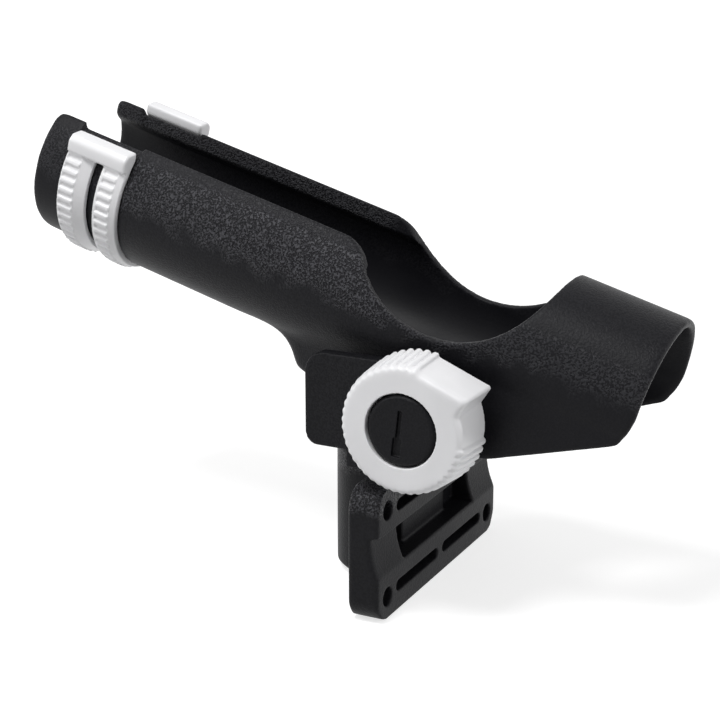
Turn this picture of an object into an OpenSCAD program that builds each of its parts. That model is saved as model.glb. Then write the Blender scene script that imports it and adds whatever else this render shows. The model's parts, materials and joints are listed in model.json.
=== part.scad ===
// Side-mount fishing rod holder: slotted cradle with a turning lock ring,
// carried in a swivelling fork and clamped by one big side knob.
// Frame: origin on the mount face at the centre of the four screw holes,
// +X out of the mount face (towards the butt end), +Y along the tilt axis, +Z up.

/* [Cradle] */
// Outer radius of the rod tube
tube_r = 27; // [22.5:0.1:32.5]
// Wall thickness of the rod tube
tube_wall = 3; // [2.4:0.2:3.6]
// Distance from the tilt axis forward to the front end
front_len = 164.5; // [135:0.5:200]
// Distance from the tilt axis back to the rear end
rear_len = 63; // [55:0.5:75]
// Height of the tube axis above the tilt axis
tube_h = 21.5; // [21:0.1:26]
// Tilt of the cradle as built, front end up
tilt = 16; // [0:1:30]
// Width of the slot along the top
slot_w = 35.8; // [30:0.2:40]
// Narrower width of the slot at the front collar
collar_slot_w = 34.8; // [30:0.2:40]
// Radius of the scoop cut behind the slot
scoop_r = 35.8; // [32:0.2:38]
// Lowest level of the scoop above the tube axis
scoop_low = 1.1; // [0:0.1:3]
// Distance from the tilt axis forward to the middle of the scoop
scoop_mid = 10.8; // [8:0.2:14]
// How far the closed rear part stands above the front tube
rear_rise = 2.6; // [0.5:0.1:3]
// How far the side skirts stay inside the flanks of the tube
skirt_in = 1; // [0.6:0.1:2]

/* [Lock ring] */
// Length of the front collar
collar_len = 12; // [8:0.5:16]
// Width of the lock ring along the tube
ring_w = 24; // [20:0.5:30]
// Depth of the groove the ring turns in
groove_d = 1.2; // [0.8:0.1:1.4]
// How far the ring stands above the tube
ring_proud = 2.6; // [2:0.1:4]
// Turn of the ring as built
ring_turn = 6; // [-8:1:8]
// Number of grip ribs on a full turn of the ring
ring_ribs = 54; // [40:2:72]

/* [Fork] */
// Thickness of each fork ear
ear_t = 5.2; // [4:0.2:7]
// Length of the ear forward of the tilt axis
ear_front = 42.6; // [38:0.2:46]
// Height of the ear
ear_h = 32; // [28:0.5:34]
// Radius of the swivel stem
stem_r = 10.95; // [9.5:0.05:12]

/* [Base] */
// Width of the mount plate
plate_w = 98; // [81:1:120]
// Height of the mount plate
plate_h = 45.5; // [44:0.5:56]
// Thickness of the mount plate
plate_t = 11; // [9:0.5:14]
// Distance of the mount screw holes from the side edges of the plate
hole_in_y = 7.5; // [6.5:0.25:10]
// Distance of the mount screw holes from the top and bottom edges of the plate
hole_in_z = 7.75; // [6.5:0.25:10]
// Diameter of the mount screw holes
hole_d = 6.5; // [4:0.5:7]
// Radius of the swivel tower
tower_r = 18; // [17:0.5:19]

/* [Clamp] */
// Diameter of the tilt bolt
bolt_d = 6; // [5:0.1:8]
// Largest radius of the knob over its ribs
knob_r = 22.5; // [18.5:0.25:27]
// Thickness of the knob
knob_t = 16.6; // [14:0.2:20]
// Number of grip ribs round the knob
knob_ribs = 36; // [24:1:44]
// Radius of the cap in the knob
cap_r = 11.9; // [9:0.1:13]

/* [Hidden] */
$fn = 96;
eps = 0.05;
// running fit on a radius, and free clearance round a shank
fit = 0.08;
shank_gap = 0.35;
bolt_r = bolt_d / 2;
bore_r = tube_r - tube_wall;
skirt_half = tube_r - skirt_in;
// the swivel axis, with its tower and the fork's cross bar
tower_x = -19.6;
tower_top = plate_h / 2 + 0.25;
tower_low = -plate_h / 2;
tower_foot = 3;
washer_t = 1;
yoke_low = tower_top + washer_t;
bar_t = 4.6;
// the tilt axis: the knob clears the plate and the keel clears the cross bar
knob_gap = 0.25;
keel_low = 13.5;
keel_gap = 3;
pivot_x = 8;
pivot_z = max(plate_h / 2 + knob_r + knob_gap, yoke_low + bar_t + keel_low + keel_gap);
// the socket floor that carries the swivel screw
web_t = 4;
web_low = tower_low + 4.75;
web_top = web_low + web_t;
stem_low = web_top + 0.1;
// swivel screw, its two washers and the pocket they sit in
screw_r = 3;
screw_len = 20;
screw_head_r = 5.2;
screw_head_h = 2.1;
swivel_washer_r = 8;
spring_washer_r = 5.6;
swivel_washer_t = 1.2;
pocket_r = 9.4;
// stack along the tilt axis, from the middle out
pad_y = tube_r;
pad_r = 13.2;
disc_t = 0.8;
ear_in = pad_y + disc_t + 0.1;
ear_out = ear_in + ear_t;
knob_back = ear_out + 0.4;
knob_front = knob_back + knob_t;
washer_knob_t = 1.2;
insert_len = 9;
insert_af = 2 * bolt_d;
washer_knob_r = insert_af / 2 + 2.6;
cap_t = 3;
cap_seat = knob_front - cap_t - 0.05;
head_h = 4;
head_af = bolt_d * 5 / 3;
boss_r = head_af / sqrt(3) + 3.2;
// mount screw holes and the hollows of the mount face
hole_dy = plate_w - 2 * hole_in_y;
hole_dz = plate_h - 2 * hole_in_z;
corner_plate = 8;
chan_h = 14;
chan_d = 3;
chan_rise = chan_h - 1;
chan_r = (chan_d * chan_d + chan_rise * chan_rise) / (2 * chan_d);
well_half = plate_w / 2 - 20;
well_h = 12.6;
well_d = 6.5;
well_end = 12;
well_end_d = 9.2;
face_slot_end = plate_w / 2 - 14;
face_slot_z = plate_h / 2 - 8.55;
face_slot_h = 3.8;
face_slot_d = 6;
// lengths along the cradle
front_s = -front_len;
groove_f = front_s + collar_len;
groove_b = groove_f + ring_w + 0.6;
groove_r = tube_r - groove_d;
ring_in = groove_r + 0.3;
ring_out = tube_r + ring_proud;
// thumb pads at the ends of the ring, seen along the tube
pad_a = 13.6;
pad_in = slot_w / 2 + 1.8;
pad_wide = ring_out * cos(27) + 0.4;
pad_low = ring_out * sin(27) + 1;
scoop_s = -scoop_mid;
scoop_n = scoop_low + scoop_r;
// upright lips of the slot: the wall is thicker above rim_low
lip_top = 0.56;
lip_n = sqrt(pow(tube_r, 2) - pow(slot_w / 2 + lip_top, 2));
collar_lip_n = sqrt(pow(tube_r, 2) - pow(collar_slot_w / 2 + lip_top, 2));
pad_high = lip_n + 0.8;
lip_round = 3;
rim_low = 0.43 * tube_r;
rim_y = sqrt(bore_r * bore_r - rim_low * rim_low);
// the rounded corner between slot lip and scoop
corner_r = 13;
corner_dn = scoop_n - lip_n + corner_r;
corner_lap = 0.06;
corner_far = scoop_r + corner_r - corner_lap;
corner_ds = sqrt(corner_far * corner_far - corner_dn * corner_dn);
corner_s = scoop_s - corner_ds;
corner_n = lip_n - corner_r;
touch = (scoop_r - corner_lap / 2) / corner_far;
// the concave neck that runs from the tube into the keel
nose_half = 11;
neck_s = -73;
neck_r = 19;
neck_n = tube_h - sqrt(tube_r * tube_r - nose_half * nose_half) - neck_r;
tunnel_r = bolt_r + 2.5;
// a length past every cut
reach = 60;
// the underside of the rear skirts, measured from the tilt axis
low_a = [22, -8.2];
low_b = [30, -3.8];
low_c = [rear_len - 6, tube_h - 9.3];
low_d = [rear_len - 2.9, tube_h - 7.3];
low_e = [rear_len - 0.9, tube_h - 2.4];
low_f = [rear_len, tube_h + 2];
body_black = [0.12, 0.12, 0.13];
white = [0.93, 0.93, 0.93];
steel = [0.72, 0.73, 0.75];
brass = [0.78, 0.64, 0.3];
nylon = [0.85, 0.84, 0.78];

// a round bar along X from s0 to s1 at height n
module bar_x(r, s0, s1, n) {
  translate([s0, 0, n])
    rotate([0, 90, 0])
      cylinder(r = r, h = s1 - s0);
}

// a round bar along Y from y0 to y1
module bar_y(r, y0, y1) {
  translate([0, y0, 0])
    rotate([-90, 0, 0])
      cylinder(r = r, h = y1 - y0);
}

// a flat outline in the X-Z plane, given a width along Y about the middle
module slab_y(half) {
  translate([0, half, 0])
    rotate([90, 0, 0])
      linear_extrude(height = 2 * half)
        children();
}

// an outline in the Y-Z plane, given a length along X from s0
module slab_x(s0, len) {
  translate([s0, 0, 0])
    rotate([90, 0, 90])
      linear_extrude(height = len)
        children();
}

module cube_span(x0, x1, y0, y1, z0, z1) {
  translate([x0, y0, z0])
    cube([x1 - x0, y1 - y0, z1 - z0]);
}

// places what is built about the tilt axis
module at_pivot() {
  translate([pivot_x, 0, pivot_z])
    children();
}

// places what is built in the cradle's own line
module in_cradle() {
  at_pivot()
    rotate([0, tilt, 0])
      children();
}

module hex_bar(af, h) {
  cylinder(r = af / sqrt(3), h = h, $fn = 6);
}

// the slot between the lips, with their tops at n above the tube axis
module slot_cut(s0, s1, half, n) {
  far = tube_r + 5;
  lip_low = rim_low + 2.4;
  foot_n = rim_low - 0.2;
  foot_y = rim_y - 0.6;
  slab_x(s0, s1 - s0)
    translate([0, tube_h])
      polygon([[half, n], [far, n], [far, far], [-far, far], [-far, n], [-half, n],
        [-half, lip_low], [-foot_y, foot_n], [foot_y, foot_n], [half, lip_low]]);
}

// the deep part under the tube: narrow nose in front, full width behind
module keel() {
  front = neck_s - 1;
  grow = skirt_half - nose_half;
  side = [[front - 2, nose_half], [neck_s + 13, nose_half + 0.13 * grow], [neck_s + 28, nose_half + 0.47 * grow],
    [neck_s + 43, nose_half + 0.77 * grow], [neck_s + 58, nose_half + 0.95 * grow], [neck_s + 73, skirt_half],
    [rear_len, skirt_half]];
  intersection() {
    translate([0, 0, -reach])
      linear_extrude(height = reach + tube_h)
        polygon(concat(side, [for (i = [len(side) - 1:-1:0]) [side[i][0], -side[i][1]]]));
    slab_y(tube_r + 5)
      polygon([[front, tube_h], [front, -keel_low], [neck_s + 23, -keel_low],
        [-38, 2 - keel_low], [-16, 2.5 - keel_low], [0, 0.5 - keel_low], [12, 2.3 - keel_low],
        low_a, low_b, low_c, low_d, low_e, low_f, [rear_len, tube_h]]);
  }
}

module cradle_solid() {
  lap_f = -8;
  lap_b = 14;
  bar_x(tube_r, front_s, lap_b, tube_h);
  bar_x(tube_r, lap_f, rear_len, tube_h + rear_rise);
  keel();
  bar_y(pad_r, -pad_y, pad_y);
}

module cradle_cuts() {
  round_n = tube_h + collar_lip_n - lip_round + 0.3;
  intersection() {
    bar_x(bore_r, front_s - 1, scoop_s, tube_h);
    cube_span(front_s - 2, scoop_s + 1, -reach, reach, -reach, tube_h + rim_low);
  }
  bar_x(bore_r, scoop_s - eps, rear_len + 1, tube_h);
  bar_x(bore_r, 0, rear_len + 1, tube_h + rear_rise);
  // slot along the top between upright lips, a little higher at the collar
  slot_cut(front_s - 1, groove_f + eps, collar_slot_w / 2, collar_lip_n);
  slot_cut(groove_f, scoop_s, slot_w / 2, lip_n);
  difference() {
    cube_span(front_s - 1, front_s + lip_round, -reach, reach, round_n, tube_h + reach);
    translate([front_s + lip_round, 0, round_n])
      bar_y(lip_round, -reach - 1, reach + 1);
  }
  // scoop for the reel and its rounded front corners
  translate([scoop_s, 0, tube_h + scoop_n])
    bar_y(scoop_r, -tube_r - 5, tube_r + 5);
  difference() {
    slab_y(tube_r + 5)
      polygon([[corner_s, tube_h + lip_n + 12], [corner_s, tube_h + corner_n],
        [scoop_s - corner_ds * touch, tube_h + scoop_n - corner_dn * touch],
        [scoop_s, tube_h + scoop_n - 8], [scoop_s, tube_h + lip_n + 12]]);
    translate([corner_s, 0, tube_h + corner_n])
      bar_y(corner_r, -tube_r - 6, tube_r + 6);
  }
  // groove that the lock ring turns in
  difference() {
    bar_x(tube_r + 6, groove_f, groove_b, tube_h);
    bar_x(groove_r, groove_f - 1, groove_b + 1, tube_h);
  }
  // concave neck between tube and keel
  translate([neck_s, 0, neck_n])
    bar_y(neck_r, -tube_r - 1, tube_r + 1);
  // slanted underside of the rear part
  slab_y(tube_r + 5)
    polygon([low_a, low_b, low_c, low_d, low_e, low_f, [rear_len + 9, tube_h + 2],
      [rear_len + 9, -reach], [low_a[0], -reach]]);
}

module cradle() {
  color(body_black)
    in_cradle()
      difference() {
        union() {
          difference() {
            cradle_solid();
            cradle_cuts();
          }
          bar_y(tunnel_r, -tube_r + 2, tube_r - 2);
        }
        bar_y(bolt_r + fit, -tube_r - 1, tube_r + 1);
      }
}

// ribbed outline for the ring bands
module ring_outline() {
  step = 360 / ring_ribs;
  deep = 0.9;
  polygon([for (i = [0:ring_ribs - 1], p = [[0, -deep], [0.32, -deep], [0.5, 0], [0.82, 0]])
    [(ring_out + p[1]) * cos((i + p[0]) * step), (ring_out + p[1]) * sin((i + p[0]) * step)]]);
}

// wedge between two angles, seen along the tube
module wedge(a0, a1) {
  steps = 8;
  polygon(concat([[0, 0]], [for (i = [0:steps])
    [reach * cos(a0 + (a1 - a0) * i / steps), reach * sin(a0 + (a1 - a0) * i / steps)]]));
}

// one band of the ring: a ribbed strip with plain strips before and behind it
module ring_band(s0, w, before, behind) {
  plain_r = ring_out - 0.4;
  fall = 0.38;
  slab_x(s0 + before, w - before - behind)
    ring_outline();
  bar_x(plain_r, s0, s0 + before + eps, 0);
  translate([s0 + w - behind - eps, 0, 0])
    rotate([0, 90, 0])
      cylinder(r1 = plain_r, r2 = plain_r - behind * fall, h = behind + eps);
}

// thumb pad at one end of the ring: flat outside, level on top
module ring_pad(s0, s1) {
  slab_x(s0, s1 - s0)
    polygon([[ring_out * cos(8), ring_out * sin(8)], [pad_wide, pad_low], [pad_wide, pad_high - 2],
      [pad_wide - 2, pad_high], [pad_in, pad_high], [pad_in, pad_high - 3.6], [14, 4]]);
}

module lock_ring() {
  gap_a = acos(pad_in / tube_r) - 0.8;
  ring_s = groove_f + 0.3;
  front_w = ring_w * 0.44;
  rear_w = ring_w * 0.375;
  color(white)
    in_cradle()
      translate([0, 0, tube_h])
        rotate([ring_turn, 0, 0])
          difference() {
            union() {
              difference() {
                union() {
                  ring_band(ring_s, front_w, 0.6, 4.2);
                  ring_band(ring_s + ring_w - rear_w, rear_w, 1.2, 2.4);
                }
                slab_x(ring_s - 1, ring_w + 2)
                  wedge(gap_a - pad_a / 2, 180 - gap_a + pad_a / 2);
              }
              for (side = [0, 1])
                mirror([0, side, 0])
                  intersection() {
                    ring_pad(ring_s, ring_s + ring_w);
                    slab_x(ring_s - 1, ring_w + 2)
                      wedge(gap_a - pad_a, 80);
                  }
            }
            bar_x(ring_in, ring_s - 1, ring_s + ring_w + 1, 0);
          }
}

module ear(y0, y1) {
  lift = 0.2;
  top = ear_h / 2 + lift;
  low = -ear_h / 2 + lift;
  tl = 7;
  bl = 4.5;
  cube_span(-ear_front + tl, 0, y0, y1, low, top);
  cube_span(-ear_front, -ear_front + tl + eps, y0, y1, low + bl, top - tl);
  cube_span(-ear_front + bl, -ear_front + tl + eps, y0, y1, low, low + bl + eps);
  translate([-ear_front + tl, 0, top - tl])
    bar_y(tl, y0, y1);
  translate([-ear_front + bl, 0, low + bl])
    bar_y(bl, y0, y1);
  translate([0, 0, lift])
    bar_y(ear_h / 2, y0, y1);
}

// the concave foot of one fork arm
module arm_foot(y0, y1, r) {
  toe = 1;
  difference() {
    cube_span(-eps, r, y0, y1, 0, r + toe);
    translate([r, 0, r + toe])
      bar_y(r, y0 - 1, y1 + 1);
  }
}

module yoke() {
  arm_f = -27.5;
  arm_b = -5.2;
  arm_top = -10;
  bar_low = yoke_low - pivot_z;
  foot_r = 6;
  thread_deep = 17;
  color(body_black)
    difference() {
      union() {
        at_pivot() {
          ear(-ear_out, -ear_in);
          ear(ear_in, ear_out);
          cube_span(arm_f, arm_b, -ear_out, -ear_in, bar_low, arm_top);
          cube_span(arm_f, arm_b, ear_in, ear_out, bar_low, arm_top);
          cube_span(arm_f, arm_b, -ear_out, ear_out, bar_low, bar_low + bar_t);
          for (y0 = [-ear_out, ear_in])
            translate([arm_b, 0, bar_low])
              arm_foot(y0, y0 + ear_t, foot_r);
          bar_y(boss_r, ear_out - eps, ear_out + head_h + 0.8);
        }
        translate([tower_x, 0, yoke_low])
          cylinder(r = tower_r - 2, h = bar_t);
        translate([tower_x, 0, stem_low])
          cylinder(r = stem_r, h = yoke_low - stem_low + eps);
      }
      at_pivot() {
        bar_y(bolt_r + fit, -ear_out - 1, ear_out + 6);
        translate([0, ear_out + 0.6, 0])
          rotate([-90, 0, 0])
            hex_bar(head_af + 0.3, 10);
      }
      translate([tower_x, 0, stem_low - 1])
        cylinder(r = screw_r, h = thread_deep);
    }
}

module plate_block(x0, x1) {
  r = corner_plate;
  cube_span(x0, x1, -plate_w / 2, plate_w / 2, -plate_h / 2 + r, plate_h / 2 - r);
  cube_span(x0, x1, -plate_w / 2 + r, plate_w / 2 - r, -plate_h / 2, plate_h / 2);
  for (y = [-1, 1], z = [-1, 1])
    translate([0, y * (plate_w / 2 - r), z * (plate_h / 2 - r)])
      bar_x(r, x0, x1, 0);
}

// blind slot in the mount face
module face_slot(y0, y1, z, h, depth) {
  cube_span(-depth, 1, y0 + h / 2, y1 - h / 2, z - h / 2, z + h / 2);
  translate([0, y0 + h / 2, z])
    bar_x(h / 2, -depth, 1, 0);
  translate([0, y1 - h / 2, z])
    bar_x(h / 2, -depth, 1, 0);
}

module mount_base() {
  foot_z = tower_low + tower_foot;
  color(body_black)
    difference() {
      union() {
        plate_block(-plate_t, 0);
        translate([tower_x, 0, foot_z])
          cylinder(r = tower_r, h = tower_top - foot_z);
        translate([tower_x, 0, tower_low])
          cylinder(r1 = tower_r - 3, r2 = tower_r, h = tower_foot);
        cube_span(tower_x, -plate_t + 1, -tower_r, tower_r, foot_z, tower_top);
      }
      // channel across the mount face, stepped above and swept out below, and the well in it with its deeper ends
      intersection() {
        cube_span(-plate_t, 1, -plate_w, plate_w, -chan_h, chan_h / 2);
        translate([chan_r - chan_d, 0, chan_h / 2 - 0.5])
          bar_y(chan_r, -plate_w - 1, plate_w + 1);
      }
      cube_span(-well_d, 1, -well_half, well_half, -well_h / 2, well_h / 2);
      for (y = [-well_half, well_half - well_end])
        cube_span(-well_end_d, 1, y, y + well_end, -well_h / 2, well_h / 2);
      for (z = [-face_slot_z, face_slot_z]) {
        face_slot(-face_slot_end, -2, z, face_slot_h, face_slot_d);
        face_slot(2, face_slot_end, z, face_slot_h, face_slot_d);
      }
      for (y = [-1, 1], z = [-1, 1])
        translate([0, y * hole_dy / 2, z * hole_dz / 2])
          bar_x(hole_d / 2, -plate_t - 1, 1, 0);
      // swivel socket with its screw floor
      translate([tower_x, 0, web_top])
        cylinder(r = stem_r + fit, h = plate_h);
      translate([tower_x, 0, tower_low - 1])
        cylinder(r = screw_r + shank_gap, h = plate_h);
      translate([tower_x, 0, tower_low - 10])
        cylinder(r = pocket_r, h = 10 + web_low - tower_low);
    }
}

module thrust_washer() {
  color(nylon)
    translate([tower_x, 0, tower_top])
      difference() {
        cylinder(r = tower_r - 2, h = washer_t - 0.02);
        translate([0, 0, -1])
          cylinder(r = stem_r + shank_gap, h = washer_t + 2);
      }
}

module swivel_washer() {
  color(steel)
    translate([tower_x, 0, web_low - swivel_washer_t - eps])
      difference() {
        cylinder(r = swivel_washer_r, h = swivel_washer_t);
        translate([0, 0, -1])
          cylinder(r = screw_r + shank_gap, h = 4);
      }
}

module swivel_spring_washer() {
  color(steel)
    translate([tower_x, 0, web_low - 2 * swivel_washer_t - 2 * eps])
      difference() {
        cylinder(r = spring_washer_r, h = swivel_washer_t);
        translate([0, 0, -1])
          cylinder(r = screw_r + shank_gap, h = 4);
        translate([3, -0.4, -1])
          rotate([0, 0, 12])
            cube([4, 0.8, 4]);
      }
}

module swivel_screw() {
  color(steel)
    translate([tower_x, 0, web_low - 2 * swivel_washer_t - 3 * eps])
      difference() {
        union() {
          translate([0, 0, -screw_head_h])
            cylinder(r = screw_head_r, h = screw_head_h);
          cylinder(r = screw_r - 0.03, h = screw_len);
        }
        translate([0, 0, -3])
          hex_bar(4, 2.2);
      }
}

module friction_discs() {
  color(nylon)
    at_pivot()
      for (y0 = [-pad_y - disc_t - 0.05, pad_y + 0.05])
        difference() {
          bar_y(pad_r - 0.4, y0, y0 + disc_t);
          bar_y(bolt_r + shank_gap, y0 - 1, y0 + disc_t + 1);
        }
}

module pivot_bolt() {
  color(steel)
    at_pivot() {
      bar_y(bolt_r - 0.03, -cap_seat + 1.2, ear_out + 0.7);
      translate([0, ear_out + 0.65, 0])
        rotate([-90, 0, 0])
          hex_bar(head_af, head_h);
    }
}

module knob_washer() {
  color(steel)
    at_pivot()
      difference() {
        bar_y(washer_knob_r, -ear_out - washer_knob_t - 0.03, -ear_out - 0.03);
        bar_y(bolt_r + shank_gap, -knob_front, 0);
      }
}

// ribbed outline of the knob with its thumb tab, seen from the front
module knob_outline() {
  deep = 1.2;
  root = knob_r - deep;
  tip = knob_r + 4.05;
  a0 = 74;
  a1 = 351;
  step = (a1 - a0) / knob_ribs;
  rib = [[0.04, -deep], [0.2, -0.25], [0.5, 0], [0.8, -0.25], [0.96, -deep]];
  polygon(concat(
    [for (i = [0:knob_ribs - 1], p = rib)
      [(knob_r + p[1]) * cos(a0 + (i + p[0]) * step), (knob_r + p[1]) * sin(a0 + (i + p[0]) * step)]],
    [for (i = [0:6]) [(root + 0.2) * cos(-9 + i * 5), (root + 0.2) * sin(-9 + i * 5)]],
    [[tip * cos(28.6), tip * sin(28.6)], [tip * cos(30.6), tip * sin(30.6)]]));
}

module knob() {
  edge = 1.4;
  draft = 0.95;
  color(white)
    at_pivot()
      rotate([90, 0, 0])
        difference() {
          union() {
            translate([0, 0, knob_back])
              linear_extrude(height = knob_t - edge, scale = draft)
                knob_outline();
            translate([0, 0, knob_front - edge])
              linear_extrude(height = edge, scale = 0.94)
                scale([draft, draft])
                  knob_outline();
          }
          // washer recess, insert pocket, bolt way and cap seat
          translate([0, 0, knob_back - 1])
            cylinder(r = washer_knob_r + 0.4, h = 2 + washer_knob_t - 0.4);
          translate([0, 0, knob_back])
            hex_bar(insert_af + 0.1, washer_knob_t + insert_len - 0.2);
          translate([0, 0, knob_back])
            cylinder(r = bolt_r + 0.4, h = knob_t + 1);
          translate([0, 0, cap_seat])
            cylinder(r = cap_r + 0.3, h = cap_t + 1);
        }
}

module knob_insert() {
  color(brass)
    at_pivot()
      rotate([90, 0, 0])
        translate([0, 0, knob_back + washer_knob_t - 0.3])
          difference() {
            hex_bar(insert_af, insert_len);
            translate([0, 0, -1])
              cylinder(r = bolt_r + 0.02, h = insert_len + 2);
          }
}

module knob_cap() {
  lip = 1.2;
  slot_low = cap_t - 1.3;
  color(body_black)
    at_pivot()
      rotate([90, 0, 0])
        translate([0, 0, cap_seat])
          difference() {
            union() {
              cylinder(r = cap_r, h = cap_t - lip);
              translate([0, 0, cap_t - lip])
                cylinder(r1 = cap_r, r2 = cap_r - lip, h = lip);
            }
            // grip slot, wider in its lower half
            translate([-0.9, -1, 0])
              rotate([0, 0, -6]) {
                cube_span(-0.7, 0.7, -7.7, 7.6, slot_low, cap_t + 1);
                cube_span(-1.5, 1.5, -7.7, -1.4, slot_low, cap_t + 1);
              }
          }
}

mount_base();
thrust_washer();
yoke();
swivel_washer();
swivel_spring_washer();
swivel_screw();
cradle();
lock_ring();
friction_discs();
pivot_bolt();
knob_washer();
knob();
knob_insert();
knob_cap();
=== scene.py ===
"""Looks of a side-mount fishing rod holder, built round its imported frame.

Every moulded part starts as a copy of its own solid. It is welded, remeshed evenly and relaxed, so
that each edge and inner corner gets the soft radius of an injection moulding. The metal and nylon
parts are welded copies with broken edges.
Metres throughout, in the model's frame: +X out of the mount face, +Y along the tilt axis, +Z up.
"""

import json
import math

import bmesh
import bpy
from mathutils import Matrix, Vector


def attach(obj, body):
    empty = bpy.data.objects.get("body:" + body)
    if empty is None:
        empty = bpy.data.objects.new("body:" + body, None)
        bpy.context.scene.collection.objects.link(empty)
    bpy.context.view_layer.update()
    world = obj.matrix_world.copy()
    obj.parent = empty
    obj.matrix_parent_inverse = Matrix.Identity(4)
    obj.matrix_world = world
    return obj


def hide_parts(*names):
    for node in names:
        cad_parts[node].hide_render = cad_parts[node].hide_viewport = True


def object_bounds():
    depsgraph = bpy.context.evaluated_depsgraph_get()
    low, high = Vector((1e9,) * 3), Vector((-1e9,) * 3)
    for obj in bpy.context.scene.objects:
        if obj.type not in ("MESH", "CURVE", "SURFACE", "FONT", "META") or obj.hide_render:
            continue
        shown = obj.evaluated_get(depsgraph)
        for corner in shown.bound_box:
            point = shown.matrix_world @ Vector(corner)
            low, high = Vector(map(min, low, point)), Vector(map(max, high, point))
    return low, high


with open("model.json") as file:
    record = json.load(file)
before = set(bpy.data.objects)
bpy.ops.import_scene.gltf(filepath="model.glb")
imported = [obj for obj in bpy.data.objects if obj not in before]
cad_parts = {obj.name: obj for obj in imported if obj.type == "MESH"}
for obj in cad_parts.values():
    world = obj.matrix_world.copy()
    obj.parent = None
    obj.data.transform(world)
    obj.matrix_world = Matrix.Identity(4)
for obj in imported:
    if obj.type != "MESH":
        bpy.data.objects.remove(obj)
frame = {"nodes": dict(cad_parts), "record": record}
cad_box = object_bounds()

MM = 0.001
SCENE = bpy.context.scene

# Mesh work
WELD_DISTANCE = 0.002 * MM
RELAX_FACTOR = 0.5
FLAT_ANGLE = math.radians(0.5)
SHARP_ANGLE = math.radians(40)
CREASE_ANGLE = math.radians(35)
BROKEN_EDGE = 0.15 * MM

# The cradle's own line: built level about the tilt axis, then tilted front end up
PIVOT = Vector((8.0, 0.0, 45.5)) * MM
TILT = math.radians(16)
LEVEL = Matrix.Rotation(-TILT, 4, "Y") @ Matrix.Translation(-PIVOT)
TUBE_ABOVE_PIVOT = 21.5 * MM

# The cut under its rear part, on the level cradle
CUT_LOW = Vector((30.0, 0.0, -3.8)) * MM
CUT_SLOPE = math.radians(30.6)

# Relief of the finishes, and the lighter black painted on the grain's ridges as a highlight
GRAIN_CELL = 0.68 * MM
GRAIN_DEPTH = 0.55 * MM
SPECK_DEPTH = 0.01 * MM
PAINTED_RIDGE_HIGHLIGHT = (0.0760, 0.0760, 0.0840)

# The photograph's camera
CAMERA_PLACE = Vector((222.7, -504.1, 217.7)) * MM
CAMERA_AIM = Vector((-31.0, 0.0, 50.1)) * MM
CAMERA_LENS = 85.93
SENSOR_WIDTH = 36.0

# What the lamps are turned to
LAMP_AIM = Vector((-30.0, 0.0, 50.0)) * MM


# Placing


def body_of(node):
    """The body that a CAD node belongs to."""
    bodies = frame["record"]["behaviour"]["bodies"]
    return next(body for body, members in bodies.items() if node in members)


def stand_for(piece, node, finish):
    """The piece takes the place of a CAD node, on its body and with its slot."""
    piece.data.materials.clear()
    piece.data.materials.append(finish)
    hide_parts(node)
    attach(piece, body_of(node))


def new_piece(name, work):
    """A linked object that holds a finished bmesh."""
    mesh = bpy.data.meshes.new(name)
    work.to_mesh(mesh)
    work.free()
    piece = bpy.data.objects.new(name, mesh)
    SCENE.collection.objects.link(piece)
    return piece


def welded_copy(node):
    """A bmesh of a CAD node's own mesh, with its loose triangles joined."""
    work = bmesh.new()
    work.from_mesh(frame["nodes"][node].data)
    bmesh.ops.remove_doubles(work, verts=work.verts, dist=WELD_DISTANCE)
    return work


def bake_modifiers(piece):
    """Replaces the piece's mesh by what its modifiers make of it."""
    bpy.context.view_layer.update()
    evaluated = piece.evaluated_get(bpy.context.evaluated_depsgraph_get())
    made = bpy.data.meshes.new_from_object(evaluated)
    made.name = piece.name
    piece.modifiers.clear()
    piece.data = made


# Mouldings

def relax(piece, passes, group=""):
    """Draws points towards their neighbours, which rounds edges and fills inner corners."""
    step = piece.modifiers.new("relax", "SMOOTH")
    step.factor = RELAX_FACTOR
    step.iterations = passes
    step.vertex_group = group


def mark_zone(piece, name, weight_at):
    """A vertex group whose weights, in tenths, follow a rule of place."""
    tenths = {}
    for point in piece.data.vertices:
        tenths.setdefault(round(10 * weight_at(point.co)), []).append(point.index)
    zone = piece.vertex_groups.new(name=name)
    for tenth, points in tenths.items():
        if tenth:
            zone.add(points, tenth / 10, "REPLACE")


def moulding(node, voxel, passes, keep, level=None, zones=()):
    """A CAD node remeshed at an even spacing and relaxed, with a share of its faces kept. Each
    zone is a rule of place that gives weights, with the extra passes it gets. Where level is
    given, the work is done on the part turned level."""
    work = welded_copy(node)
    if level:
        work.transform(level)
    piece = new_piece(node + "_moulding", work)
    even = piece.modifiers.new("even", "REMESH")
    even.mode = "VOXEL"
    even.voxel_size = voxel
    bake_modifiers(piece)

    for weight_at, extra in zones:
        mark_zone(piece, weight_at.__name__, weight_at)
        relax(piece, extra, weight_at.__name__)
    relax(piece, passes)
    thin = piece.modifiers.new("thin", "DECIMATE")
    thin.ratio = keep
    bake_modifiers(piece)
    piece.vertex_groups.clear()
    if level:
        piece.data.transform(level.inverted())
    piece.data.shade_smooth()
    return piece


def smooth_step(low, high, x):
    """0 below low, 1 above high, an even S between."""
    t = min(1.0, max(0.0, (x - low) / (high - low)))
    return t * t * (3 - 2 * t)


def keel_flow(place):
    """The neck under the tube, on the level cradle."""
    front = smooth_step(-88 * MM, -72 * MM, place.x)
    behind = 1 - smooth_step(0 * MM, 16 * MM, place.x)
    low = 1 - smooth_step(2 * MM, 16 * MM, place.z)
    return front * behind * low


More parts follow.
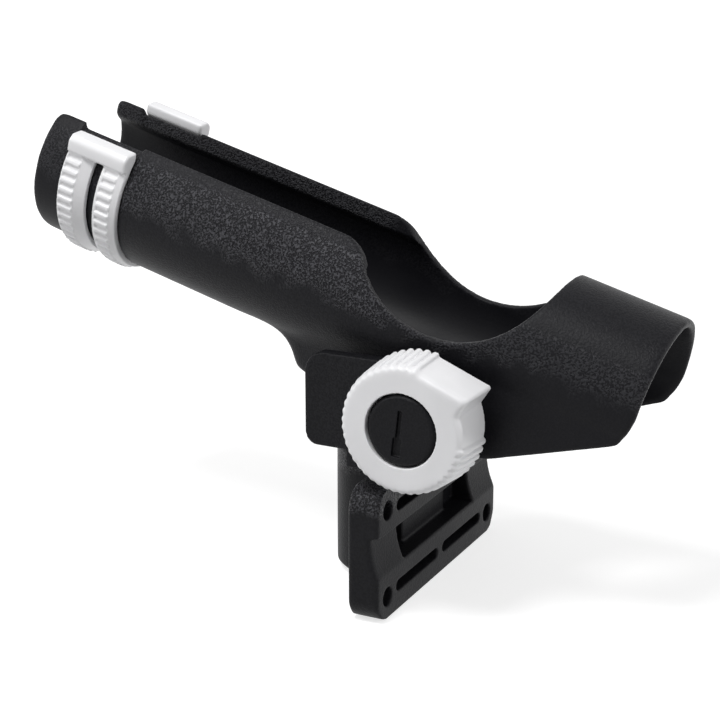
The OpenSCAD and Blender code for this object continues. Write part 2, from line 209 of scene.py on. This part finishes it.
def end_rims(place):
    """The front rim of the tube and the rim of the rear mouth with its slanted cut, on the level
    cradle."""
    front = smooth_step(160.5 * MM, 163.0 * MM, -place.x)
    rear = smooth_step(59.0 * MM, 61.5 * MM, place.x)
    past_x = place.x - CUT_LOW.x
    past_z = place.z - CUT_LOW.z
    above_cut = past_z * math.cos(CUT_SLOPE) - past_x * math.sin(CUT_SLOPE)
    near_cut = 1 - smooth_step(2.0 * MM, 4.5 * MM, above_cut)
    cut = near_cut * smooth_step(24 * MM, 30 * MM, place.x)
    return max(front, rear, cut)


def ring_pads(place):
    """The thumb pads at the ends of the ring, on the level cradle."""
    return smooth_step(10 * MM, 14 * MM, place.z - TUBE_ABOVE_PIVOT)


def swivel_stem(place):
    """The fork's round stem, which turns in the base's socket."""
    return 1 - smooth_step(20.0 * MM, 22.5 * MM, place.z)


def plate_ends(place):
    """The rounded ends of the mount plate, clear of its screw holes."""
    return smooth_step(45.5 * MM, 47.5 * MM, abs(place.y))


def from_clamp_axis(place):
    """How far a place is from the knob's axis."""
    return math.hypot(place.x - PIVOT.x, place.z - PIVOT.z)


def knob_rim(place):
    """The knob's front edge, where its ribs run out."""
    front = smooth_step(46.2 * MM, 48.6 * MM, -place.y)
    outer = smooth_step(13.6 * MM, 15.5 * MM, from_clamp_axis(place))
    behind = smooth_step(10.0 * MM, 14.0 * MM, place.x - PIVOT.x)
    under_tab = behind * (1 - smooth_step(2.0 * MM, 8.0 * MM, place.z - PIVOT.z))
    return front * outer * (1 - 0.8 * under_tab)


def cap_rim(place):
    """The outer edge of the knob's cap."""
    return smooth_step(9.3 * MM, 10.4 * MM, from_clamp_axis(place))


# Metal and nylon

def broken_edges(node):
    """A CAD node with its sharp edges broken by a small bevel."""
    work = welded_copy(node)
    bmesh.ops.dissolve_limit(work, angle_limit=FLAT_ANGLE, verts=work.verts, edges=work.edges)
    sharp = [e for e in work.edges if e.calc_face_angle(0) > SHARP_ANGLE]
    bmesh.ops.bevel(
        work, geom=sharp, offset=BROKEN_EDGE, offset_type="OFFSET", affect="EDGES",
        segments=2, profile=0.5, material=-1, clamp_overlap=True,
    )
    piece = new_piece(node + "_bright", work)
    piece.data.shade_smooth()
    piece.data.set_sharp_from_angle(angle=CREASE_ANGLE)
    return piece


# Finishes

def add(tree, kind, **values):
    """A node with its input values set."""
    node = tree.nodes.new(kind)
    for key, value in values.items():
        node.inputs[key].default_value = value
    return node


def math_node(tree, operation, a, b=None):
    """One Math node. a and b are sockets or plain numbers."""
    node = tree.nodes.new("ShaderNodeMath")
    node.operation = operation
    for slot, value in zip(node.inputs, (a, b)):
        if value is None:
            continue
        if isinstance(value, (int, float)):
            slot.default_value = value
        else:
            tree.links.new(value, slot)
    return node.outputs[0]


def ramp(tree, value, low, high, to_low=0.0, to_high=1.0):
    """A smooth change from to_low to to_high as the value goes from low to high."""
    node = tree.nodes.new("ShaderNodeMapRange")
    node.interpolation_type = "SMOOTHSTEP"
    tree.links.new(value, node.inputs["Value"])
    node.inputs["From Min"].default_value = low
    node.inputs["From Max"].default_value = high
    node.inputs["To Min"].default_value = to_low
    node.inputs["To Max"].default_value = to_high
    return node.outputs["Result"]


def group(name, inputs, outputs):
    """An empty shader node group with its sockets."""
    tree = bpy.data.node_groups.new(name, "ShaderNodeTree")
    for label, kind in inputs:
        tree.interface.new_socket(label, in_out="INPUT", socket_type=kind)
    for label, kind in outputs:
        tree.interface.new_socket(label, in_out="OUTPUT", socket_type=kind)
    return tree, tree.nodes.new("NodeGroupInput"), tree.nodes.new("NodeGroupOutput")


def leather_grain():
    """Leather mould grain: short crowded wrinkles bent by a slow noise, from 0 in a valley to
    about 1 on a ridge."""
    tree, given, made = group(
        "leather grain",
        [("Vector", "NodeSocketVector"), ("Cell Size", "NodeSocketFloat")],
        [("Height", "NodeSocketFloat")],
    )
    warp_pitch = 0.6
    warp_reach = 0.9
    valley = 0.38
    ridge_top = 0.62
    fine_pitch = 2.6
    fine_share = 0.2
    per_metre = math_node(tree, "DIVIDE", 1.0, given.outputs["Cell Size"])
    warp = add(tree, "ShaderNodeTexNoise", Detail=2.0)
    tree.links.new(given.outputs["Vector"], warp.inputs["Vector"])
    tree.links.new(math_node(tree, "MULTIPLY", per_metre, warp_pitch), warp.inputs["Scale"])
    shift = tree.nodes.new("ShaderNodeVectorMath")
    shift.operation = "SCALE"
    tree.links.new(warp.outputs["Color"], shift.inputs[0])
    reach = math_node(tree, "MULTIPLY", given.outputs["Cell Size"], warp_reach)
    tree.links.new(reach, shift.inputs["Scale"])
    bent = tree.nodes.new("ShaderNodeVectorMath")
    bent.operation = "ADD"
    tree.links.new(given.outputs["Vector"], bent.inputs[0])
    tree.links.new(shift.outputs[0], bent.inputs[1])
    wrinkles = add(tree, "ShaderNodeTexNoise", Detail=1.0)
    tree.links.new(bent.outputs[0], wrinkles.inputs["Vector"])
    tree.links.new(per_metre, wrinkles.inputs["Scale"])
    ridge = ramp(tree, wrinkles.outputs["Fac"], valley, ridge_top)
    fine = add(tree, "ShaderNodeTexNoise", Detail=2.0)
    tree.links.new(given.outputs["Vector"], fine.inputs["Vector"])
    tree.links.new(math_node(tree, "MULTIPLY", per_metre, fine_pitch), fine.inputs["Scale"])
    rough = math_node(tree, "MULTIPLY", fine.outputs["Fac"], fine_share)
    tree.links.new(math_node(tree, "ADD", ridge, rough), made.inputs["Height"])
    return tree


def mould_flow():
    """Slow cloudy change over a moulding, as plastic cools unevenly, and fine specks. Both are
    about 0 to 1."""
    tree, given, made = group(
        "mould flow",
        [("Vector", "NodeSocketVector"), ("Scale", "NodeSocketFloat")],
        [("Cloud", "NodeSocketFloat"), ("Speck", "NodeSocketFloat")],
    )
    cloud = add(tree, "ShaderNodeTexNoise", Detail=4.0, Distortion=0.6)
    tree.links.new(given.outputs["Vector"], cloud.inputs["Vector"])
    tree.links.new(given.outputs["Scale"], cloud.inputs["Scale"])
    specks_per_cloud = 45.0
    speck = add(tree, "ShaderNodeTexNoise", Detail=2.0)
    speck_scale = math_node(tree, "MULTIPLY", given.outputs["Scale"], specks_per_cloud)
    tree.links.new(given.outputs["Vector"], speck.inputs["Vector"])
    tree.links.new(speck_scale, speck.inputs["Scale"])
    tree.links.new(ramp(tree, cloud.outputs["Fac"], 0.3, 0.7), made.inputs["Cloud"])
    tree.links.new(speck.outputs["Fac"], made.inputs["Speck"])
    return tree


GRAIN = leather_grain()
FLOW = mould_flow()


def material(name, **sockets):
    """A Principled material with plain socket values, with its tree, shader and object
    coordinates."""
    made = bpy.data.materials.new(name)
    made.use_nodes = True
    tree = made.node_tree
    shader = tree.nodes["Principled BSDF"]
    for key, value in sockets.items():
        shader.inputs[key.replace("_", " ")].default_value = value
    place = tree.nodes.new("ShaderNodeTexCoord").outputs["Object"]
    return made, tree, shader, place


def place_group(tree, shared, vector, **values):
    """A shared node group in a material, with its own values."""
    node = tree.nodes.new("ShaderNodeGroup")
    node.node_tree = shared
    tree.links.new(vector, node.inputs["Vector"])
    for key, value in values.items():
        node.inputs[key.replace("_", " ")].default_value = value
    return node


def two_tone(tree, factor, first, second):
    """A colour between two, by a factor socket."""
    mix = tree.nodes.new("ShaderNodeMix")
    mix.data_type = "RGBA"
    mix.inputs["A"].default_value = (*first, 1)
    mix.inputs["B"].default_value = (*second, 1)
    tree.links.new(factor, mix.inputs["Factor"])
    return mix.outputs["Result"]


def bump(tree, shader, height, depth):
    """Relief from a height of about 0 to 1, of the given depth."""
    node = tree.nodes.new("ShaderNodeBump")
    node.inputs["Strength"].default_value = 1.0
    node.inputs["Distance"].default_value = depth
    tree.links.new(height, node.inputs["Height"])
    tree.links.new(node.outputs["Normal"], shader.inputs["Normal"])


def black_moulded(name, grain_amount, gloss, dark):
    """Near-black satin plastic with a leather grain. Its ridges are painted lighter, a painted
    highlight, and grained places are painted darker in the hollows, painted shade.
    grain_amount(tree, place) gives the grain's share, gloss the specular level and dark the colour
    in the painted-shade hollows."""
    made, tree, shader, place = material(name, Specular_IOR_Level=gloss)
    grain = place_group(tree, GRAIN, place, Cell_Size=GRAIN_CELL)
    flow = place_group(tree, FLOW, place, Scale=22.0)
    amount = grain_amount(tree, place)
    ridges = math_node(tree, "MULTIPLY", grain.outputs["Height"], amount)
    cloudy = math_node(tree, "MULTIPLY", flow.outputs["Cloud"], 0.03)
    # Painted light and shade: grained places are coloured darker in the hollows as painted shade,
    # and lighter on the ridges as a painted highlight.
    painted_valley_shade = math_node(tree, "MULTIPLY", amount, 0.03)
    painted_ridge_light = math_node(tree, "MULTIPLY", ridges, 0.72)
    tone_and_painted_relief = math_node(tree, "ADD", math_node(tree, "SUBTRACT", cloudy, painted_valley_shade), painted_ridge_light)
    colour = two_tone(tree, tone_and_painted_relief, (dark, dark, 1.25 * dark), PAINTED_RIDGE_HIGHLIGHT)
    tree.links.new(colour, shader.inputs["Base Color"])
    satin = ramp(tree, flow.outputs["Cloud"], 0.0, 1.0, 0.42, 0.48)
    polish = math_node(tree, "MULTIPLY", amount, 0.15)
    satin = math_node(tree, "SUBTRACT", satin, polish)
    tree.links.new(satin, shader.inputs["Roughness"])
    specks = math_node(tree, "MULTIPLY", flow.outputs["Speck"], 0.05)
    bump(tree, shader, math_node(tree, "ADD", ridges, specks), GRAIN_DEPTH)
    return made


def even_grain(share):
    """A rule for about the same share of grain all over."""
    def amount(tree, place):
        cloud = place_group(tree, FLOW, place, Scale=60.0)
        return ramp(tree, cloud.outputs["Cloud"], 0.0, 1.0, share * 0.8, share * 1.2)
    return amount


def corner_grain(tree, place):
    """Full grain on the upper corners of the mount plate, little below. The grain's painted ridge
    highlight paints these top corners lighter, as lit.
    """
    split = tree.nodes.new("ShaderNodeSeparateXYZ")
    tree.links.new(place, split.inputs["Vector"])
    ragged = add(tree, "ShaderNodeTexNoise", Detail=3.0, Scale=160.0)
    tree.links.new(place, ragged.inputs["Vector"])
    wander = math_node(tree, "SUBTRACT", ragged.outputs["Fac"], 0.5)
    wander = math_node(tree, "MULTIPLY", wander, 8 * MM)
    edge = math_node(tree, "ADD", split.outputs["Z"], wander)
    return ramp(tree, edge, 14 * MM, 17 * MM, 0.06, 0.9)


def flank_grain(tree, place):
    """Full grain on the upper flanks of the tube, with a ragged edge to the almost smooth lower
    half. It is fainter on the rear part and starts higher there. The bore and the rear top are
    almost smooth. Since the grain brings its painted ridge highlight, this also paints the upper
    flanks and the inner faces of the lips lighter, as lit, than the lower half."""
    level = tree.nodes.new("ShaderNodeMapping")
    level.inputs["Location"].default_value = LEVEL.to_translation()
    level.inputs["Rotation"].default_value = (0, -TILT, 0)
    tree.links.new(place, level.inputs["Vector"])
    split = tree.nodes.new("ShaderNodeSeparateXYZ")
    tree.links.new(level.outputs["Vector"], split.inputs["Vector"])
    along = split.outputs["X"]
    height = math_node(tree, "SUBTRACT", split.outputs["Z"], TUBE_ABOVE_PIVOT)

    ragged = add(tree, "ShaderNodeTexNoise", Detail=4.0, Scale=140.0)
    tree.links.new(place, ragged.inputs["Vector"])
    wander = math_node(tree, "SUBTRACT", ragged.outputs["Fac"], 0.5)
    wander = math_node(tree, "MULTIPLY", wander, 16 * MM)
    edge = math_node(tree, "ADD", height, wander)
    rear_lift = ramp(tree, along, -20 * MM, 40 * MM, 0.0, 6 * MM)
    edge = math_node(tree, "SUBTRACT", edge, rear_lift)
    upper = ramp(tree, edge, -3 * MM, 3 * MM, 0.08, 1.0)

    across = math_node(tree, "POWER", split.outputs["Y"], 2.0)
    upwards = math_node(tree, "POWER", height, 2.0)
    from_axis = math_node(tree, "SQRT", math_node(tree, "ADD", across, upwards))
    outside = ramp(tree, from_axis, 25.2 * MM, 26.6 * MM, 0.1, 1.0)
    below_lip = ramp(tree, height, 15.8 * MM, 17.4 * MM, 1.0, 0.25)
    rear_fade = ramp(tree, along, -30 * MM, 20 * MM, 1.0, 0.4)
    collar_fade = ramp(tree, along, -152 * MM, -140 * MM, 0.35, 1.0)
    fade = math_node(tree, "MULTIPLY", rear_fade, collar_fade)
    flank = math_node(tree, "MULTIPLY", outside, math_node(tree, "MULTIPLY", below_lip, fade))

    # Grain on the inner faces of the lips ahead of the slot, which with its painted ridge
    # highlight paints them lighter, as lit.
    lip_face = ramp(tree, height, 12.0 * MM, 14.0 * MM, 0.0, 0.6)
    ahead = ramp(tree, along, -52 * MM, -42 * MM, 1.0, 0.0)
    inside = math_node(tree, "SUBTRACT", 1.0, outside)
    lips = math_node(tree, "MULTIPLY", lip_face, math_node(tree, "MULTIPLY", ahead, inside))
    return math_node(tree, "MULTIPLY", upper, math_node(tree, "MAXIMUM", flank, lips))


def white_moulded():
    """White satin-gloss plastic, faintly cloudy."""
    made, tree, shader, place = material("white moulding", Specular_IOR_Level=0.5)
    flow = place_group(tree, FLOW, place, Scale=30.0)
    colour = two_tone(tree, flow.outputs["Cloud"], (0.74, 0.74, 0.755), (0.79, 0.79, 0.805))
    tree.links.new(colour, shader.inputs["Base Color"])
    satin = ramp(tree, flow.outputs["Cloud"], 0.0, 1.0, 0.30, 0.40)
    tree.links.new(satin, shader.inputs["Roughness"])
    bump(tree, shader, flow.outputs["Speck"], SPECK_DEPTH)
    return made


def metal(name, first, second, rough):
    """Bright turned metal with fine drawn lines."""
    made, tree, shader, place = material(name, Metallic=1.0)
    stretch = tree.nodes.new("ShaderNodeMapping")
    stretch.inputs["Scale"].default_value = (1.0, 1.0, 14.0)
    tree.links.new(place, stretch.inputs["Vector"])
    lines = place_group(tree, FLOW, stretch.outputs["Vector"], Scale=90.0)
    colour = two_tone(tree, lines.outputs["Cloud"], first, second)
    tree.links.new(colour, shader.inputs["Base Color"])
    turned = ramp(tree, lines.outputs["Speck"], 0.3, 0.7, rough, rough + 0.14)
    tree.links.new(turned, shader.inputs["Roughness"])
    bump(tree, shader, lines.outputs["Speck"], SPECK_DEPTH)
    return made


def nylon_sheet():
    """Cream nylon, a little cloudy."""
    made, tree, shader, place = material("nylon", Specular_IOR_Level=0.4)
    flow = place_group(tree, FLOW, place, Scale=70.0)
    colour = two_tone(tree, flow.outputs["Cloud"], (0.62, 0.6, 0.52), (0.7, 0.68, 0.6))
    tree.links.new(colour, shader.inputs["Base Color"])
    dull = ramp(tree, flow.outputs["Cloud"], 0.0, 1.0, 0.45, 0.55)
    tree.links.new(dull, shader.inputs["Roughness"])
    return made


cradle_black = black_moulded("cradle moulding", flank_grain, gloss=0.10, dark=0.0060)
fork_black = black_moulded("fork moulding", even_grain(0.10), gloss=0.10, dark=0.0046)
base_black = black_moulded("base moulding", corner_grain, gloss=0.10, dark=0.0046)
cap_black = black_moulded("cap moulding", even_grain(0.05), gloss=0.10, dark=0.0042)
white_plastic = white_moulded()
steel = metal("bright steel", (0.52, 0.52, 0.54), (0.62, 0.62, 0.64), rough=0.24)
brass = metal("brass", (0.66, 0.5, 0.2), (0.74, 0.58, 0.28), rough=0.26)
nylon = nylon_sheet()

# Pieces

cradle = moulding(
    "cradle", voxel=0.6 * MM, passes=8, keep=0.46, level=LEVEL,
    zones=[(keel_flow, 220), (end_rims, 30)],
)
stand_for(cradle, "cradle", cradle_black)
lock_ring = moulding(
    "lock_ring", voxel=0.26 * MM, passes=2, keep=0.5, level=LEVEL, zones=[(ring_pads, 70)],
)
stand_for(lock_ring, "lock_ring", white_plastic)
yoke = moulding("yoke", voxel=0.5 * MM, passes=6, keep=0.6, zones=[(swivel_stem, 30)])
stand_for(yoke, "yoke", fork_black)
mount_base = moulding(
    "mount_base", voxel=0.45 * MM, passes=7, keep=0.4, zones=[(plate_ends, 30)],
)
stand_for(mount_base, "mount_base", base_black)
knob = moulding("knob", voxel=0.3 * MM, passes=3, keep=0.6, zones=[(knob_rim, 70)])
stand_for(knob, "knob", white_plastic)
knob_cap = moulding("knob_cap", voxel=0.2 * MM, passes=3, keep=0.6, zones=[(cap_rim, 40)])
stand_for(knob_cap, "knob_cap", cap_black)

for node, finish in (
    ("swivel_washer", steel),
    ("swivel_spring_washer", steel),
    ("swivel_screw", steel),
    ("pivot_bolt", steel),
    ("knob_washer", steel),
    ("knob_insert", brass),
    ("thrust_washer", nylon),
    ("friction_discs", nylon),
):
    stand_for(broken_edges(node), node, finish)

# The solids that the pieces stand for get a finish too
for node in frame["nodes"].values():
    node.data.materials.clear()
    node.data.materials.append(fork_black)


# Studio

def seen_directly(tree):
    """1 for rays from the camera and for what mirrors and glass show, 0 for plain light."""
    path = tree.nodes.new("ShaderNodeLightPath")
    camera = path.outputs["Is Camera Ray"]
    mirror = path.outputs["Is Glossy Ray"]
    through = path.outputs["Is Transmission Ray"]
    return math_node(tree, "MAXIMUM", math_node(tree, "MAXIMUM", camera, mirror), through)


def floor():
    """A pale floor that keeps the shadow near the object and goes to white further off."""
    work = bmesh.new()
    just_below = cad_box[0][2] - 0.2 * MM
    bmesh.ops.create_grid(work, x_segments=1, y_segments=1, size=4.0)
    bmesh.ops.translate(work, verts=work.verts, vec=(0, 0, just_below))
    piece = new_piece("floor", work)
    made, tree, shader, place = material(
        "floor", Base_Color=(0.55, 0.55, 0.55, 1), Specular_IOR_Level=0.0, Roughness=0.9,
    )
    shadow_reach = 0.25
    white_from = 0.8
    distance = tree.nodes.new("ShaderNodeVectorMath")
    distance.operation = "LENGTH"
    tree.links.new(place, distance.inputs[0])
    white = ramp(tree, distance.outputs["Value"], shadow_reach, white_from, 0.7, 1.0)
    strength = math_node(tree, "MULTIPLY", seen_directly(tree), white)
    glow = tree.nodes.new("ShaderNodeEmission")
    tree.links.new(strength, glow.inputs["Strength"])
    both = tree.nodes.new("ShaderNodeAddShader")
    tree.links.new(shader.outputs[0], both.inputs[0])
    tree.links.new(glow.outputs[0], both.inputs[1])
    tree.links.new(both.outputs[0], tree.nodes["Material Output"].inputs["Surface"])
    piece.data.materials.append(made)


def studio_world():
    """Soft light that is stronger from above, with a white background for the camera."""
    world = bpy.data.worlds.new("studio")
    world.use_nodes = True
    SCENE.world = world
    tree = world.node_tree
    shine = tree.nodes["Background"]
    way = tree.nodes.new("ShaderNodeTexCoord").outputs["Generated"]
    split = tree.nodes.new("ShaderNodeSeparateXYZ")
    tree.links.new(way, split.inputs["Vector"])
    from_below = 0.10
    from_above = 0.34
    strength = ramp(tree, split.outputs["Z"], -0.1, 0.9, from_below, from_above)
    tree.links.new(strength, shine.inputs["Strength"])
    shine.inputs["Color"].default_value = (1, 1, 1, 1)
    white = add(tree, "ShaderNodeBackground", Color=(1, 1, 1, 1), Strength=1.0)
    pick = tree.nodes.new("ShaderNodeMixShader")
    tree.links.new(seen_directly(tree), pick.inputs["Fac"])
    tree.links.new(shine.outputs[0], pick.inputs[1])
    tree.links.new(white.outputs[0], pick.inputs[2])
    tree.links.new(pick.outputs[0], tree.nodes["World Output"].inputs["Surface"])


def soft_box(name, place, size, watts):
    """A square lamp turned to the middle of the object."""
    data = bpy.data.lights.new(name, "AREA")
    data.size = size
    data.energy = watts
    lamp = bpy.data.objects.new(name, data)
    lamp.location = place
    lamp.rotation_euler = (LAMP_AIM - Vector(place)).to_track_quat("-Z", "Y").to_euler()
    SCENE.collection.objects.link(lamp)


def photo_camera():
    """The camera at the photograph's angle and framing."""
    data = bpy.data.cameras.new("camera")
    data.lens = CAMERA_LENS
    data.sensor_width = SENSOR_WIDTH
    camera = bpy.data.objects.new("camera", data)
    camera.location = CAMERA_PLACE
    camera.rotation_euler = (CAMERA_AIM - CAMERA_PLACE).to_track_quat("-Z", "Y").to_euler()
    SCENE.collection.objects.link(camera)
    SCENE.camera = camera


floor()
studio_world()
soft_box("overhead", (-0.13, -0.42, 0.9), size=0.3, watts=5.9)
soft_box("left", (-0.75, -0.5, 0.6), size=0.4, watts=2.8)
soft_box("right", (0.9, 0.1, 0.4), size=0.6, watts=3.4)
photo_camera()

SCENE.view_settings.view_transform = "Standard"
